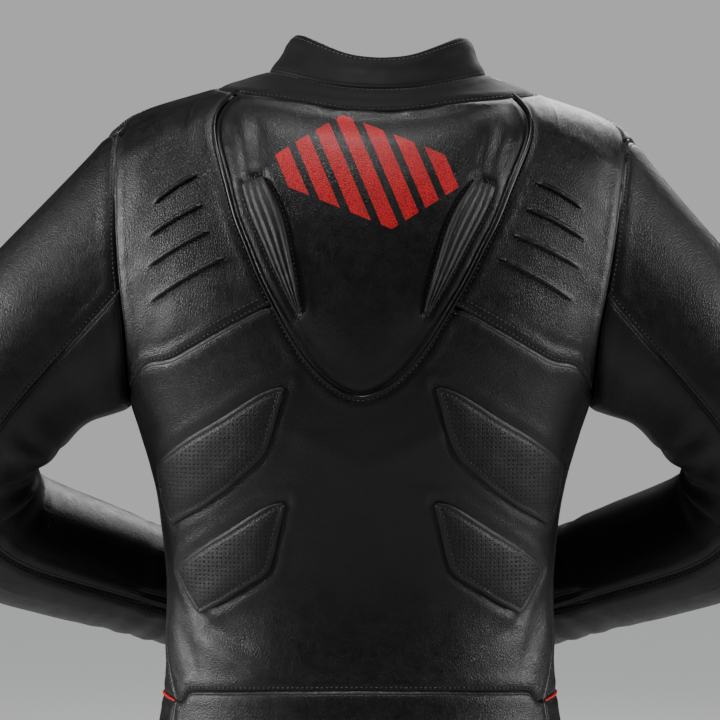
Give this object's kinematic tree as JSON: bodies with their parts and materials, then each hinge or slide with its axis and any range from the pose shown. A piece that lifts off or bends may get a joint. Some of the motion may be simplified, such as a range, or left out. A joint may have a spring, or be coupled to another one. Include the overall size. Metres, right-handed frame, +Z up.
{
  "type": "leather motorcycle jacket",
  "caption": "Hollow black leather motorcycle jacket in its worn pose, with bent sleeves, a raised back hump, ribbed and padded panels, a stand collar, piping and a front zip.",
  "frame": {"origin": "inside the neck at the height of the collar seam behind, where the shoulders carry the jacket", "axes": "+Z up, -Y is the front with the zip, +Y is the back, +X is the wearer's left"},
  "size_m": [0.8964, 0.4146, 0.6666],
  "materials": {
    "cowhide": "pebbled, semi-gloss",
    "perforated_cowhide": "perforated, satin",
    "soft_collar_leather": "smooth, matte",
    "black_piping": "smooth, glossy",
    "red_piping": "smooth, satin",
    "dark_zip_metal": "dark, satin"
  },
  "bodies": {
    "jacket": {"back_panel": "cowhide", "hump_panel": "cowhide", "neck_yoke": "soft_collar_leather", "collar": "soft_collar_leather", "waistband_back": "cowhide", "waistband_side_left": "cowhide", "waistband_side_right": "cowhide", "waistband_front_left": "cowhide", "waistband_front_right": "cowhide", "pad_upper_left": "perforated_cowhide", "pad_upper_right": "perforated_cowhide", "pad_lower_left": "perforated_cowhide", "pad_lower_right": "perforated_cowhide", "hump_piping": "black_piping", "blade_panel_left": "cowhide", "blade_panel_right": "cowhide", "front_panel_left": "cowhide", "front_panel_right": "cowhide", "side_panel_left": "cowhide", "side_panel_right": "cowhide", "rib_insert_left": "perforated_cowhide", "rib_insert_right": "perforated_cowhide", "waist_piping_left": "red_piping", "waist_piping_right": "red_piping", "sleeve_upper_left": "cowhide", "sleeve_upper_right": "cowhide", "sleeve_under_left": "cowhide", "sleeve_under_right": "cowhide", "cuff_left": "cowhide", "cuff_right": "cowhide", "zip_chain": "dark_zip_metal", "zip_slider": "dark_zip_metal"},
    "pull": {"zip_pull": "dark_zip_metal"}
  },
  "joints": [
    {"name": "zip_pull_hinge", "type": "hinge", "parent": "jacket", "child": "pull", "pos_m": [-0.00802, -0.09863, -0.08192], "axis": [-1, 0, 0], "range_deg": [0, 150]}
  ]
}
